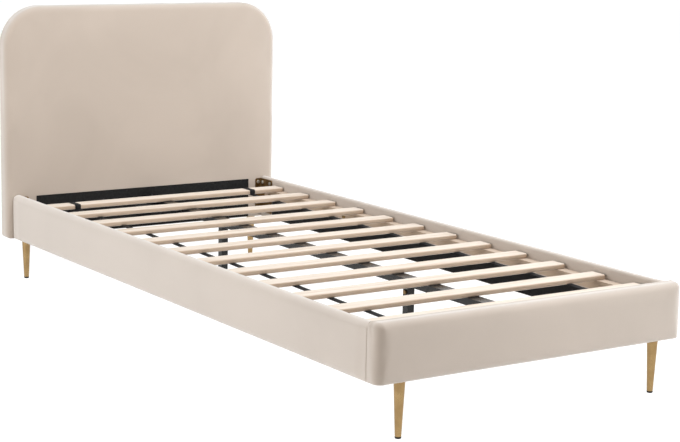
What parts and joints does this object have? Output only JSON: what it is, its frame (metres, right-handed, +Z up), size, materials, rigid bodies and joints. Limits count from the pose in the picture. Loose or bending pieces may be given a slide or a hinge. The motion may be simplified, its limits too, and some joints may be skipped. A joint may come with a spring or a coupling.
{
  "type": "upholstered bed",
  "caption": "Single bed frame with a padded headboard, low padded rails and foot board round a slatted base, on tapered brass legs with a supported centre beam.",
  "frame": {"origin": "on the floor under the centre of the footprint", "axes": "+X to the right seen from the foot, +Y from the foot to the headboard, +Z up"},
  "size_m": [1.002, 2.103, 0.886],
  "materials": {
    "fabric": "short-pile beige velvet over foam",
    "dust_cloth": "black non-woven dust cloth",
    "webbing": "black woven webbing",
    "board": "raw particle board",
    "slat_wood": "planed pale pine",
    "brass": "satin brass plating",
    "bronzed_steel": "yellow zinc plating, dark",
    "bolt_steel": "bright zinc plating",
    "black_steel": "glossy black powder coat",
    "black_plastic": "moulded black plastic"
  },
  "bodies": {
    "bed_frame": {"headboard_board": "board", "headboard_cover": "fabric", "headboard_back_cloth": "dust_cloth", "headboard_front_cloth": "dust_cloth", "foot_board": "board", "foot_cover": "fabric", "foot_cloth": "dust_cloth", "left_rail_board": "board", "left_rail_cover": "fabric", "left_rail_cloth": "dust_cloth", "left_ledger": "slat_wood", "right_rail_board": "board", "right_rail_cover": "fabric", "right_rail_cloth": "dust_cloth", "right_ledger": "slat_wood", "ledger_bolts": "bronzed_steel", "foot_left_bracket": "bronzed_steel", "foot_right_bracket": "bronzed_steel", "head_left_bracket": "bronzed_steel", "head_right_bracket": "bronzed_steel", "bracket_bolts": "bolt_steel", "centre_beam": "black_steel", "foot_beam_hanger": "black_steel", "head_beam_hanger": "black_steel", "hanger_screws": "bolt_steel", "foot_centre_leg": "black_steel", "head_centre_leg": "black_steel", "foot_leg_socket": "black_plastic", "head_leg_socket": "black_plastic", "centre_leg_bolts": "bronzed_steel", "slat_01": "slat_wood", "slat_02": "slat_wood", "slat_03": "slat_wood", "slat_04": "slat_wood", "slat_05": "slat_wood", "slat_06": "slat_wood", "slat_07": "slat_wood", "slat_08": "slat_wood", "slat_09": "slat_wood", "slat_10": "slat_wood", "slat_11": "slat_wood", "slat_12": "slat_wood", "left_strap": "webbing", "right_strap": "webbing", "foot_left_leg": "brass", "foot_right_leg": "brass", "head_left_leg": "brass", "head_right_leg": "brass", "foot_left_glide": "black_plastic", "foot_right_glide": "black_plastic", "head_left_glide": "black_plastic", "head_right_glide": "black_plastic", "leg_studs": "bolt_steel"},
    "foot_side_leveller": {"foot_levelling_foot": "black_plastic"},
    "head_side_leveller": {"head_levelling_foot": "black_plastic"}
  },
  "joints": [
    {"name": "foot_leveller_screw", "type": "slide", "parent": "bed_frame", "child": "foot_side_leveller", "axis": [0, 0, -1], "range_m": [0, 0.012]},
    {"name": "head_leveller_screw", "type": "slide", "parent": "bed_frame", "child": "head_side_leveller", "axis": [0, 0, -1], "range_m": [0, 0.012]}
  ]
}
